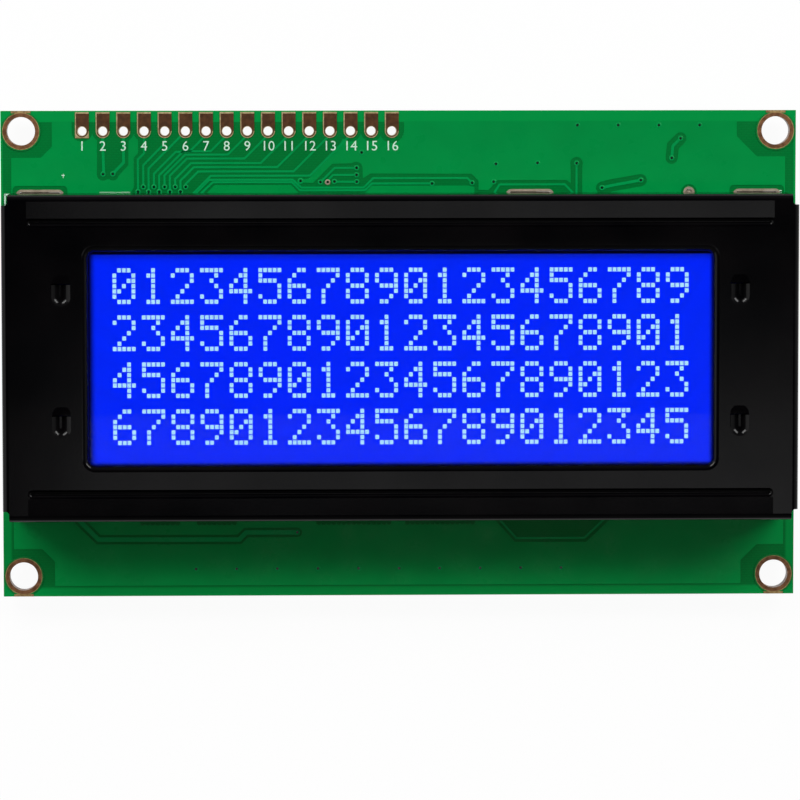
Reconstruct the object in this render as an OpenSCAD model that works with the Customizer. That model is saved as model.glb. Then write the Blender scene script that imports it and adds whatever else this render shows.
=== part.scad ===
// Character display module, four lines of twenty characters.
// The frame: +Z is the side that is looked at, +Y is the edge with the header row, +X runs along the lines of text.
// The origin is the centre of the four mounting holes, on the rear face of the circuit board.
// Lengths are in millimetres.

/* [Circuit board] */
// Length of the circuit board along X
board_w = 98; // [92:0.5:112]
// Depth of the circuit board along Y
board_d = 60; // [58:0.5:70]
// Thickness of the glass-epoxy laminate
board_t = 1.6; // [1.0:0.1:2.4]
// Thickness of the copper and its plating, on both faces and in the holes
copper_t = 0.07; // [0.04:0.01:0.12]

/* [Mounting holes] */
// Distance from the board's edges to the middle of each mounting hole
hole_inset = 2.5; // [2.5:0.1:4]
// Clear diameter of a mounting hole, inside its plating
hole_d = 3.5; // [2.5:0.1:3.6]
// Diameter of the bare copper ring round a mounting hole
hole_land_d = 4.9; // [4.4:0.1:5.0]
// Width of the bare copper that runs from each ring to the board's edge
hole_strip_w = 2.4; // [1:0.1:3]

/* [Header row] */
// Number of plated holes in the header row
header_count = 16; // [14:1:18]
// Distance from one header hole to the next
header_pitch = 2.54; // [2:0.01:2.54]
// Distance from the left mounting hole to the first header hole
header_start = 7.5; // [5:0.1:12]
// Clear diameter of a header hole, inside its plating
header_hole_d = 1.1; // [0.8:0.05:1.2]
// Width of a header pad
header_pad_w = 1.7; // [1.5:0.05:1.8]
// Distance from the board's edge to the top of the header pads
header_edge_gap = 0.15; // [0.1:0.05:0.5]

/* [Bezel] */
// Distance from the board's short edges to the sheet-steel bezel
bezel_inset = 0.5; // [0.2:0.1:2]
// Depth of the bezel along Y
bezel_d = 39.8; // [38:0.1:42]
// Height of the bezel's face above the front of the board
bezel_h = 9.2; // [8.5:0.1:12]
// Thickness of the steel sheet
bezel_t = 0.5; // [0.4:0.05:0.6]
// Inside radius of every bend in the sheet
bend_inner_r = 0.3; // [0.2:0.05:0.4]
// Distance from the bezel's ends to the viewing window
window_side = 10.5; // [10:0.1:14]
// Distance from the bezel's long sides to the viewing window
window_margin = 6.9; // [6.8:0.1:9]
// Corner radius of the window's opening
window_r = 0.8; // [0.4:0.1:2]
// Distance that each side wall stops short of the bezel's corner
relief_d = 1.3; // [1.2:0.1:3]
// Fillet radius inside each corner relief
relief_r = 0.4; // [0.1:0.05:0.6]

/* [Pressed beads and lances] */
// Distance from the bezel's long sides to the middle of each long bead
bead_margin = 3.4; // [3.2:0.1:3.6]
// Distance from the bezel's ends to the ends of each bead
bead_side = 3.1; // [2.5:0.1:8]
// Width of a bead at the face
bead_w = 1.1; // [0.9:0.05:1.3]
// Distance from the bezel's ends to the middle of each lance
lance_side = 7.25; // [6.5:0.05:7.3]
// Distance between the two rows of lances
lance_pitch = 16; // [10:0.5:18]
// Height of the upper row's sheared edge over the centre line
lance_top = 9; // [6:0.1:10]
// Width of a lance at the face
lance_w = 2.3; // [1.6:0.1:2.3]
// Length of a lance from its sheared edge to its round end
lance_len = 2.6; // [2:0.1:3.5]
// Width of the sheared slit at each lance
slit_w = 0.15; // [0.1:0.05:0.3]
// Height of the crescent that is raised along the far side of each slit
brow_h = 0.08; // [0.04:0.01:0.12]
// Length of that crescent, measured away from the slit
brow_len = 1; // [0.6:0.1:1.2]

/* [Tabs and slots] */
// Width of a bezel tab
tab_w = 4.6; // [3:0.1:5]
// Length of the twisted end behind the board
tab_len = 1.6; // [1.2:0.1:2.4]
// Angle that a tab is twisted by
tab_twist = 36; // [20:1:45]
// Distance from the bezel's ends to the middle of each outer tab
tab_side = 4.3; // [4.1:0.1:5]
// Distance of the inner tabs from the centre line along X
tab_inner_x = 16.15; // [8:0.05:24]
// Clearance between a tab and the sides of its slot
slot_side_gap = 0.12; // [0.1:0.01:0.16]
// Clearance between a tab and the ends of its slot
slot_end_gap = 0.35; // [0.2:0.05:0.5]
// Width of the bare copper ring round a slot
slot_ring = 0.3; // [0.2:0.05:0.45]
// Clear diameter of the plated tooling hole at the bezel's upper edge
tooling_hole_d = 0.8; // [0.6:0.1:1.0]
// Distance from the bezel's right end to the tooling hole
tooling_hole_side = 12.7; // [9:0.1:20]

/* [Glass cell] */
// Length of the backlight housing's end beyond the front glass
glass_side = 3.8; // [3.3:0.1:4.2]
// Thickness of each glass plate
glass_t = 1.1; // [0.7:0.1:1.1]
// Distance that the rear glass is set in from the front glass at each end
glass_step = 1; // [1:0.1:1.4]
// Space between the two plates of glass
cell_gap = 0.1; // [0.05:0.01:0.15]
// Width of the seal round the cell
seal_w = 1.2; // [0.8:0.1:2]
// Thickness of each polarizing film
polarizer_t = 0.2; // [0.15:0.05:0.25]
// Margin of the polarizing films beyond the window along X
polarizer_side = 1.5; // [1:0.1:1.6]
// Margin of the polarizing films beyond the window along Y
polarizer_margin = 0.85; // [0.6:0.05:0.9]
// Width of the hardened plug in the filling port
plug_w = 5; // [3:0.5:8]
// Thickness of the plug outside the cell
plug_t = 0.6; // [0.4:0.1:0.8]
// Width of the filling port, the gap in the seal
port_w = 2.5; // [1.5:0.5:3]

/* [Contact strips] */
// Distance from the ends of the front glass to the striped rubber contact strips
strip_side = 2; // [1:0.5:4]
// Thickness of a contact strip
strip_t = 1.8; // [1.4:0.1:2.0]
// Clearance on each side of a contact strip
strip_gap = 0.05; // [0.03:0.01:0.1]
// Distance from one gold contact to the next
contact_pitch = 0.78; // [0.7:0.01:1.5]
// Width of a gold contact
contact_w = 0.42; // [0.3:0.02:0.5]
// Length of a gold contact
contact_len = 2.4; // [1.6:0.1:3]

/* [Backlight] */
// Clearance between the backlight housing and the bezel's walls
housing_gap = 0.2; // [0.1:0.05:0.3]
// Corner radius of the backlight housing
housing_r = 1; // [0.5:0.1:2]
// Thickness of the housing's floor
floor_t = 0.8; // [0.6:0.1:1.2]
// Thickness of the wall between the rear glass and a contact strip
rib_t = 0.7; // [0.6:0.05:0.9]
// Width of the shelf that carries the rear glass
shelf_w = 0.7; // [0.4:0.1:0.8]
// Clearance round each glass plate and sheet in the housing
nest_gap = 0.1; // [0.05:0.01:0.15]
// Depth of the housing's rim below the front of the glass
rim_drop = 0.2; // [0.1:0.05:0.4]
// Wall left round the hollows in the housing's ends
core_wall = 1; // [0.8:0.1:1.5]
// Thickness of the reflector sheet
reflector_t = 0.1; // [0.05:0.05:0.2]
// Thickness of the diffuser sheet
diffuser_t = 0.3; // [0.2:0.05:0.5]
// Thickness of the small circuit board that carries the lamps
led_board_t = 0.8; // [0.6:0.1:1.0]
// Number of lamps
led_count = 5; // [3:1:8]
// Width of a lamp
led_w = 2.2; // [1.6:0.1:2.4]
// Depth of a lamp from its board to its face
led_t = 1.1; // [0.8:0.1:1.4]
// Height of a lamp
led_h = 1.8; // [1.2:0.1:2.4]
// Wall round the cup in a lamp's face
cup_wall = 0.3; // [0.2:0.05:0.4]
// Depth of the cup in a lamp's face
cup_depth = 0.35; // [0.2:0.05:0.6]
// Distance of each backlight leg from the centre line along Y
leg_y = 9; // [6:0.5:11]
// Diameter of a backlight leg
leg_d = 0.6; // [0.4:0.05:0.7]
// Length of a leg behind the board
leg_len = 1.2; // [0.9:0.1:1.5]
// Clearance round a leg in its plated hole
leg_gap = 0.15; // [0.1:0.01:0.2]
// Diameter of the copper land and the solder round a leg
leg_land_d = 2; // [1.6:0.1:2.4]
// Length of a leg that stands out of its solder
leg_tip = 0.18; // [0.1:0.02:0.3]
// Thickness of the solder's foot at the rim of the land
solder_foot = 0.05; // [0.04:0.01:0.1]

/* [Parts on the rear] */
// Diameter of a sealed chip
blob_d = 17; // [12:0.5:19]
// Height of a sealed chip over the board
blob_h = 1.4; // [1:0.1:1.6]
// Distance from one sealed chip to the next
blob_pitch = 27; // [24:0.5:28]
// Distance of the sealed chips from the centre line along Y
blob_y = -1.5; // [-4:0.5:4]
// Number of chip resistors in the row above the sealed chips
resistor_count = 8; // [4:1:10]
// Number of chip capacitors in the row below the sealed chips
capacitor_count = 5; // [2:1:8]
// Distance from one small chip to the next
chip_pitch = 4; // [3:0.1:5]
// Distance of the two rows of small chips from the sealed chips' centre line
chip_row = 13; // [12:0.5:14]
// Length of a small chip, with its ends
chip_len = 2; // [1.6:0.1:2.4]
// Width of a small chip
chip_w = 1.25; // [0.8:0.05:1.4]
// Height of a small chip
chip_h = 0.5; // [0.35:0.05:0.7]
// Length of each metal end of a small chip
chip_end = 0.35; // [0.2:0.05:0.5]

/* [Hidden] */
$fn = 64;
eps = 0.01;

// Heights, from the board up
deck_z = board_t + copper_t;
face_z = board_t + bezel_h;
bend_r = bezel_t + bend_inner_r;
lip_z = face_z - bend_r;
front_glass_z = lip_z - polarizer_t - glass_t;
rear_glass_z = front_glass_z - cell_gap - glass_t;
rear_polarizer_z = rear_glass_z - polarizer_t;
diffuser_z = rear_polarizer_z - diffuser_t;
floor_z = deck_z + floor_t;
guide_z = floor_z + reflector_t;
guide_t = diffuser_z - guide_z;
rim_z = lip_z - polarizer_t - rim_drop;
strip_h = front_glass_z - deck_z;

// Depth that the beads and lances are pressed to, so that they bear on the glass beside the polarizer
press_depth = bend_inner_r + polarizer_t;

// Bezel: window, beads, lances, walls and tabs
bezel_w = board_w - 2 * bezel_inset;
window_w = bezel_w - 2 * window_side;
window_d = bezel_d - 2 * window_margin;
bead_y = bezel_d / 2 - bead_margin;
bead_span = bezel_w - 2 * bead_side;
lance_x = bezel_w / 2 - lance_side;
wall_h = lip_z - deck_z;
wall_mid_y = bezel_d / 2 - bezel_t / 2;
tab_outer_x = bezel_w / 2 - tab_side;
tab_places = [
    for (side = [1, -1], x = [-tab_outer_x, tab_inner_x, tab_outer_x]) [x, side * wall_mid_y]
];
slot_w = bezel_t + 2 * slot_side_gap;
slot_len = tab_w + 2 * slot_end_gap;

// Mounting holes, header holes and tooling hole
hole_x = board_w / 2 - hole_inset;
hole_y = board_d / 2 - hole_inset;
hole_places = [for (sx = [-1, 1], sy = [-1, 1]) [sx * hole_x, sy * hole_y]];
header_places = [for (i = [0 : header_count - 1]) [-hole_x + header_start + i * header_pitch, hole_y]];
tooling_place = [bezel_w / 2 - tooling_hole_side, bezel_d / 2];

// Housing and what it holds, from the contact strips inwards
housing_w = bezel_w - 2 * (bezel_t + housing_gap);
housing_d = bezel_d - 2 * (bezel_t + housing_gap);
glass_w = housing_w - 2 * glass_side;
polarizer_w = window_w + 2 * polarizer_side;
polarizer_d = window_d + 2 * polarizer_margin;
strip_w = glass_w - 2 * strip_side;
channel_d = strip_t + 2 * strip_gap;
rear_glass_d = 2 * (bead_y - channel_d / 2 - rib_t - nest_gap);
rear_glass_w = glass_w - 2 * glass_step;
well_d = rear_glass_d - 2 * shelf_w;
well_w = rear_glass_w - 2 * shelf_w;
rim_t = housing_d / 2 - (bead_y + channel_d / 2);
glass_d = housing_d - rim_t;
lamp_board_x = well_w / 2 - nest_gap - led_board_t;
guide_left = -well_w / 2 + nest_gap;
guide_right = lamp_board_x - led_t - nest_gap;
guide_w = guide_right - guide_left;
guide_mid = (guide_left + guide_right) / 2;
leg_x = lamp_board_x + led_board_t / 2;
leg_places = [[leg_x, leg_y], [leg_x, -leg_y]];
leg_hole_d = leg_d + 2 * leg_gap;
solder_h = leg_len - leg_tip - copper_t;
lamp_pitch = (well_d - led_w - 2 * core_wall) / (led_count - 1);
lamp_z = guide_z + guide_t / 2;

// Gold contacts under each strip
contact_count = floor((strip_w - contact_w) / contact_pitch) + 1;
contact_first = -(contact_count - 1) * contact_pitch / 2;

// Small chips on the rear
resistor_y = blob_y + chip_row;
capacitor_y = blob_y - chip_row;
function row_x(count, i) = (i - (count - 1) / 2) * chip_pitch;

// Shared outlines

// Rectangle with round corners
module rounded_rectangle(w, d, r) {
    square([w - 2 * r, d], center = true);
    square([w, d - 2 * r], center = true);
    for (sx = [-1, 1], sy = [-1, 1])
        translate([sx * (w / 2 - r), sy * (d / 2 - r)]) circle(r = r);
}

// Slot with round ends along X
module stadium(l, w) {
    square([l - w, w], center = true);
    for (s = [-1, 1])
        translate([s * (l - w) / 2, 0]) circle(d = w);
}

// Flat copper on both faces of the board
module copper_faces() {
    translate([0, 0, board_t]) linear_extrude(copper_t) children();
    translate([0, 0, -copper_t]) linear_extrude(copper_t) children();
}

// Plating through the board
module copper_barrel() {
    translate([0, 0, -copper_t]) linear_extrude(board_t + 2 * copper_t) children();
}

// Circuit board, drilled for everything that passes through it
module circuit_board() {
    color("forestgreen")
    linear_extrude(board_t)
    difference() {
        square([board_w, board_d], center = true);
        for (p = hole_places) translate(p) circle(d = hole_d + 2 * copper_t);
        for (p = header_places) translate(p) circle(d = header_hole_d + 2 * copper_t);
        for (p = tab_places) translate(p) stadium(slot_len + 2 * copper_t, slot_w + 2 * copper_t);
        for (p = leg_places) translate(p) circle(d = leg_hole_d + 2 * copper_t);
        translate(tooling_place) circle(d = tooling_hole_d + 2 * copper_t);
    }
}

// One plated mounting hole: rings on both faces, the barrel, and bare copper out to the nearer edge
module mounting_land(p) {
    edge = p[1] > 0 ? 0 : -hole_inset;
    translate(p) {
        copper_faces() difference() {
            union() {
                circle(d = hole_land_d);
                translate([-hole_strip_w / 2, edge]) square([hole_strip_w, hole_inset]);
            }
            circle(d = hole_d);
        }
        copper_barrel() difference() {
            circle(d = hole_d + 2 * copper_t);
            circle(d = hole_d);
        }
    }
}

module mounting_lands() {
    color("tan") for (p = hole_places) mounting_land(p);
}

// One header pad: square at the first hole, round-ended at the rest, reaching up to the board's edge
module header_pad_outline(first) {
    translate([-header_pad_w / 2, 0]) square([header_pad_w, hole_inset - header_edge_gap]);
    if (first)
        translate([-header_pad_w / 2, -header_pad_w / 2]) square([header_pad_w, header_pad_w]);
    else
        circle(d = header_pad_w);
}

module header_pads() {
    color("darkgoldenrod")
    for (i = [0 : header_count - 1]) translate(header_places[i]) {
        copper_faces() difference() {
            header_pad_outline(i == 0);
            circle(d = header_hole_d);
        }
        copper_barrel() difference() {
            circle(d = header_hole_d + 2 * copper_t);
            circle(d = header_hole_d);
        }
    }
}

// Plated slots for the bezel's tabs, the tooling hole, and the holes for the backlight's legs
module slot_lands() {
    color("silver") {
        for (p = tab_places) translate(p) {
            copper_faces() difference() {
                stadium(slot_len + 2 * slot_ring, slot_w + 2 * slot_ring);
                stadium(slot_len, slot_w);
            }
            copper_barrel() difference() {
                stadium(slot_len + 2 * copper_t, slot_w + 2 * copper_t);
                stadium(slot_len, slot_w);
            }
        }
        for (p = leg_places) translate(p) round_land(leg_hole_d, leg_land_d);
        translate(tooling_place) round_land(tooling_hole_d, tooling_hole_d + 2 * slot_ring);
    }
}

module round_land(hole, land) {
    copper_faces() difference() {
        circle(d = land);
        circle(d = hole);
    }
    copper_barrel() difference() {
        circle(d = hole + 2 * copper_t);
        circle(d = hole);
    }
}

// Gold contacts on the board, one row under each contact strip
module strip_contacts() {
    color("gold")
    for (side = [-1, 1], i = [0 : contact_count - 1])
        translate([contact_first + i * contact_pitch, side * bead_y, board_t + copper_t / 2])
            cube([contact_w, contact_len, copper_t], center = true);
}

// Striped rubber strips that carry the signals from the board up to the front glass
module contact_strip(side) {
    translate([-strip_w / 2, side * bead_y - strip_t / 2, deck_z]) cube([strip_w, strip_t, strip_h]);
}

module upper_contact_strip() {
    color("lightpink") contact_strip(1);
}

module lower_contact_strip() {
    color("lightpink") contact_strip(-1);
}

// Pocket cut down to height z
module pocket(w, d, z) {
    translate([0, 0, z + (face_z - z) / 2]) cube([w, d, face_z - z], center = true);
}

// Moulded white housing: a tray for the light guide with seats for both plates of glass
module backlight_housing() {
    end_x = glass_w / 2 + nest_gap;
    core_w = housing_w / 2 - core_wall - end_x;
    core_d = housing_d - 2 * (core_wall + housing_r);
    plug_d = plug_w + 2 * nest_gap;
    color("white")
    difference() {
        translate([0, 0, deck_z]) linear_extrude(rim_z - deck_z)
            rounded_rectangle(housing_w, housing_d, housing_r);
        pocket(glass_w + 2 * nest_gap, glass_d + 2 * nest_gap, front_glass_z);
        pocket(rear_glass_w + 2 * nest_gap, rear_glass_d + 2 * nest_gap, rear_glass_z);
        pocket(well_w, well_d, floor_z);
        for (side = [-1, 1])
            translate([0, side * bead_y, 0]) pocket(strip_w + 2 * strip_gap, channel_d, 0);
        // relief for the plug in the filling port
        translate([-glass_w / 2 - nest_gap, -plug_d / 2, rear_glass_z])
            cube([glass_step + 2 * nest_gap, plug_d, face_z - rear_glass_z]);
        // hollows moulded from below into both ends
        for (side = [-1, 1])
            translate([side * (end_x + core_w / 2), 0, 0])
                cube([core_w, core_d, 2 * (rim_z - core_wall)], center = true);
        // passages for the legs of the lamp board
        for (p = leg_places) translate([p[0], p[1], 0]) cylinder(d = leg_hole_d, h = face_z);
    }
}

module sheet(w, d, z, t) {
    translate([-w / 2, -d / 2, z]) cube([w, d, t]);
}

module reflector_sheet() {
    color("whitesmoke")
        translate([guide_mid, 0, 0]) sheet(guide_w, well_d - 2 * nest_gap, floor_z, reflector_t);
}

module light_guide() {
    color("aliceblue")
        translate([guide_mid, 0, 0]) sheet(guide_w, well_d - 2 * nest_gap, guide_z, guide_t);
}

module diffuser_sheet() {
    color("white")
        translate([guide_mid, 0, 0]) sheet(guide_w, well_d - 2 * nest_gap, diffuser_z, diffuser_t);
}

// Upright circuit board at the end of the light guide
module lamp_board() {
    color("beige")
    translate([lamp_board_x, -well_d / 2 + nest_gap, floor_z])
        cube([led_board_t, well_d - 2 * nest_gap, rear_polarizer_z - floor_z]);
}

// Lamps that shine into the end of the light guide, each with a cup round its face
module lamps() {
    color("ivory")
    for (i = [0 : led_count - 1])
        translate([lamp_board_x - led_t, (i - (led_count - 1) / 2) * lamp_pitch, lamp_z])
            difference() {
                translate([0, -led_w / 2, -led_h / 2]) cube([led_t, led_w, led_h]);
                translate([-eps, -led_w / 2 + cup_wall, -led_h / 2 + cup_wall])
                    cube([cup_depth + eps, led_w - 2 * cup_wall, led_h - 2 * cup_wall]);
            }
}

// Two wires from the lamp board down through the circuit board
module backlight_legs() {
    color("silver")
    for (p = leg_places)
        translate([p[0], p[1], -leg_len]) cylinder(d = leg_d, h = leg_len + floor_z);
}

// Solder cones that hold the two wires behind the board
module leg_solder() {
    neck = leg_d / 2;
    flare = leg_land_d / 2 - neck;
    color("gainsboro")
    for (p = leg_places)
        translate([p[0], p[1], -copper_t])
            mirror([0, 0, 1])
            rotate_extrude()
            difference() {
                translate([neck, 0]) square([flare, solder_h]);
                translate([neck + flare + solder_foot, solder_h])
                    scale([1, (solder_h - solder_foot) / flare])
                    circle(r = flare);
            }
}

module rear_polarizer() {
    color("lightsteelblue") sheet(polarizer_w, polarizer_d, rear_polarizer_z, polarizer_t);
}

module rear_glass() {
    color("lightcyan") sheet(rear_glass_w, rear_glass_d, rear_glass_z, glass_t);
}

// Seal round the edge of the cell, with a gap at the filling port
module cell_seal() {
    color("dimgray")
    translate([0, 0, rear_glass_z + glass_t]) linear_extrude(cell_gap)
    difference() {
        square([rear_glass_w, rear_glass_d], center = true);
        square([rear_glass_w - 2 * seal_w, rear_glass_d - 2 * seal_w], center = true);
        translate([-rear_glass_w / 2 - eps, -port_w / 2]) square([seal_w + 2 * eps, port_w]);
    }
}

module liquid_crystal() {
    color("blue")
        sheet(rear_glass_w - 2 * seal_w, rear_glass_d - 2 * seal_w, rear_glass_z + glass_t, cell_gap);
}

// Hardened resin that closes the filling port, on the end of the cell
module fill_plug() {
    top_z = rear_glass_z + glass_t + cell_gap;
    color("khaki")
    translate([-rear_glass_w / 2, 0, 0]) {
        translate([0, 0, top_z - glass_t])
            linear_extrude(glass_t)
            intersection() {
                scale([2 * plug_t / plug_w, 1]) circle(d = plug_w);
                translate([-plug_w, -plug_w / 2]) square([plug_w, plug_w]);
            }
        translate([0, -port_w / 2, rear_glass_z + glass_t]) cube([seal_w, port_w, cell_gap]);
    }
}

module front_glass() {
    color("lightcyan") sheet(glass_w, glass_d, front_glass_z, glass_t);
}

module front_polarizer() {
    color("mediumblue") sheet(polarizer_w, polarizer_d, front_glass_z + glass_t, polarizer_t);
}

// Section of a bend in the sheet: a quarter ring from flat, at the top, to upright, at +X
module bend_section() {
    difference() {
        intersection() {
            circle(r = bend_r);
            square(bend_r);
        }
        circle(r = bend_inner_r);
    }
}

// Section of a side wall with its bend
module wall_section() {
    bend_section();
    translate([bend_inner_r, -wall_h]) square([bezel_t, wall_h]);
}

// Turns a section so that its X points along Y and its Y points up, and draws it out along X
module along_x(l) {
    rotate([90, 0, 90]) linear_extrude(l, center = true) children();
}

// Keeps a section's X along X and draws it out along Y
module along_y(l) {
    rotate([90, 0, 0]) linear_extrude(l, center = true) children();
}

// Radius of the trough that a tool of this width makes at the pressed depth
function trough_r(w) = (w * w / 4 + press_depth * press_depth) / (2 * press_depth);

// Half width of the sheet that a trough is made in, with the bend on each side of it
function trough_half(w) = w / 2 + bezel_t;

// Section of a trough pressed into the sheet, with the face at height 0
module trough_section(w) {
    r = trough_r(w);
    half = trough_half(w);
    difference() {
        union() {
            translate([-half, -bezel_t]) square([2 * half, bezel_t]);
            intersection() {
                translate([0, r - press_depth]) circle(r = r + bezel_t);
                translate([-half, -bezel_t - r]) square([2 * half, r]);
            }
        }
        translate([0, r - press_depth]) circle(r = r);
    }
}

// Round end of a trough
module trough_end(w) {
    half = trough_half(w);
    rotate_extrude(angle = 180)
        intersection() {
            trough_section(w);
            translate([0, -2 * half - bezel_t]) square([half, 2 * half + 2 * bezel_t]);
        }
}

// Long bead with two round ends
module bead() {
    straight = bead_span - bead_w;
    along_x(straight) trough_section(bead_w);
    for (s = [-1, 1])
        translate([s * straight / 2, 0, 0]) rotate([0, 0, -90 * s]) trough_end(bead_w);
}

module bead_opening() {
    stadium(bead_span - bead_w + 2 * trough_half(bead_w), 2 * trough_half(bead_w));
}

// Lance: a short trough, sheared across at its upper end and round at its lower end
module lance() {
    straight = lance_len - lance_w / 2;
    translate([0, -straight / 2, 0]) along_y(straight) trough_section(lance_w);
    translate([0, -straight, 0]) rotate([0, 0, 180]) trough_end(lance_w);
}

// Opening in the face for a lance, with the slit beyond its sheared end
module lance_opening() {
    half = trough_half(lance_w);
    straight = lance_len - lance_w / 2;
    translate([-half, -straight]) square([2 * half, straight]);
    translate([0, -straight]) circle(r = half);
    translate([-lance_w / 2, 0]) square([lance_w, slit_w]);
}

// Low crescent that the shearing tool raises beyond the slit
module lance_brow() {
    ball_r = (lance_w * lance_w / 4 + brow_h * brow_h) / (2 * brow_h);
    intersection() {
        translate([0, slit_w, brow_h - ball_r]) sphere(r = ball_r);
        translate([-lance_w, slit_w, -bezel_t / 2]) cube([2 * lance_w, brow_len, bezel_t]);
    }
}

// Face of the bezel between its bends, open for the window, the beads and the lances
module bezel_face() {
    difference() {
        square([bezel_w - 2 * bend_r, bezel_d - 2 * bend_r], center = true);
        rounded_rectangle(window_w + 2 * bend_r, window_d + 2 * bend_r, window_r + bend_r);
        for (side = [-1, 1]) translate([0, side * bead_y]) bead_opening();
        for (sx = [-1, 1], row = [0, 1])
            translate([sx * lance_x, lance_top - row * lance_pitch]) lance_opening();
    }
}

// Lip that is turned in round the window
module window_lip() {
    side_x = window_w / 2 + bend_r;
    side_y = window_d / 2 + bend_r;
    for (s = [0, 180]) rotate([0, 0, s]) {
        translate([0, side_y, 0]) along_x(window_w - 2 * window_r) mirror([1, 0]) bend_section();
        translate([side_x, 0, 0]) along_y(window_d - 2 * window_r) mirror([1, 0]) bend_section();
        for (m = [0, 1]) mirror([m, 0, 0])
            translate([window_w / 2 - window_r, window_d / 2 - window_r, 0])
                rotate_extrude(angle = 90)
                translate([window_r + bend_r, 0]) mirror([1, 0]) bend_section();
    }
}

// Plan of the piece cut from each corner of the sheet before it is bent
module corner_relief() {
    difference() {
        square(relief_d + bend_r);
        difference() {
            square(relief_r);
            translate([relief_r, relief_r]) circle(r = relief_r);
        }
    }
}

// Tab: straight through its slot, then twisted behind the board
module tab() {
    translate([-tab_w / 2, -bezel_t / 2, -copper_t]) cube([tab_w, bezel_t, deck_z + copper_t]);
    translate([0, 0, -copper_t]) mirror([0, 0, 1])
        linear_extrude(tab_len, twist = tab_twist, slices = 6, $fn = 4)
        square([tab_w, bezel_t], center = true);
}

// Bezel: one steel stamping, blanked, pressed, bent down on four sides and held by six tabs
module bezel() {
    flat_x = bezel_w / 2 - bend_r;
    flat_y = bezel_d / 2 - bend_r;
    color([0.05, 0.05, 0.055]) {
        difference() {
            union() {
                translate([0, 0, face_z - bezel_t]) linear_extrude(bezel_t) bezel_face();
                translate([0, 0, lip_z]) window_lip();
                for (s = [0, 180]) rotate([0, 0, s]) {
                    translate([0, flat_y, lip_z]) along_x(2 * flat_x) wall_section();
                    translate([flat_x, 0, lip_z]) along_y(2 * flat_y) wall_section();
                }
            }
            for (mx = [0, 1], my = [0, 1]) mirror([mx, 0, 0]) mirror([0, my, 0])
                translate([flat_x, bezel_d / 2 - relief_d, 0]) linear_extrude(face_z + eps) corner_relief();
        }
        for (side = [-1, 1]) translate([0, side * bead_y, face_z]) bead();
        for (sx = [-1, 1], row = [0, 1])
            translate([sx * lance_x, lance_top - row * lance_pitch, face_z]) {
                lance();
                lance_brow();
            }
        for (p = tab_places) translate(p) tab();
    }
}

// Chip under a dome of black resin on the rear of the board
module sealed_chip(x) {
    dome_r = (blob_d * blob_d / 4 + blob_h * blob_h) / (2 * blob_h);
    translate([x, blob_y, 0])
        rotate_extrude()
        intersection() {
            translate([0, dome_r - blob_h]) circle(r = dome_r, $fn = 360);
            translate([0, -blob_h]) square([blob_d / 2, blob_h]);
        }
}

module controller_chip() {
    color([0.06, 0.06, 0.06]) sealed_chip(0);
}

module left_driver_chip() {
    color([0.06, 0.06, 0.06]) sealed_chip(-blob_pitch);
}

module right_driver_chip() {
    color([0.06, 0.06, 0.06]) sealed_chip(blob_pitch);
}

// Body of a small chip, and its two metal ends, which wrap over it
module chip_body(x, y) {
    body = chip_len - 2 * chip_end;
    translate([x, y, -chip_h / 2]) cube([body, chip_w, chip_h], center = true);
}

module chip_end_pair(x, y) {
    for (s = [-1, 1])
        translate([x + s * (chip_len - chip_end) / 2, y, -chip_h / 2])
            cube([chip_end, chip_w, chip_h], center = true);
}

module chip_resistors() {
    color([0.12, 0.12, 0.13])
    for (i = [0 : resistor_count - 1]) chip_body(row_x(resistor_count, i), resistor_y);
}

module chip_capacitors() {
    color("peru")
    for (i = [0 : capacitor_count - 1]) chip_body(row_x(capacitor_count, i), capacitor_y);
}

module chip_ends() {
    color("lightgray") {
        for (i = [0 : resistor_count - 1]) chip_end_pair(row_x(resistor_count, i), resistor_y);
        for (i = [0 : capacitor_count - 1]) chip_end_pair(row_x(capacitor_count, i), capacitor_y);
    }
}

circuit_board();
mounting_lands();
header_pads();
slot_lands();
strip_contacts();
upper_contact_strip();
lower_contact_strip();
backlight_housing();
reflector_sheet();
light_guide();
diffuser_sheet();
lamp_board();
lamps();
backlight_legs();
leg_solder();
rear_polarizer();
rear_glass();
cell_seal();
liquid_crystal();
fill_plug();
front_glass();
front_polarizer();
bezel();
controller_chip();
left_driver_chip();
right_driver_chip();
chip_resistors();
chip_capacitors();
chip_ends();
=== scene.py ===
import math

import bmesh
import bpy
from mathutils import Euler, Matrix, Vector


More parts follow.
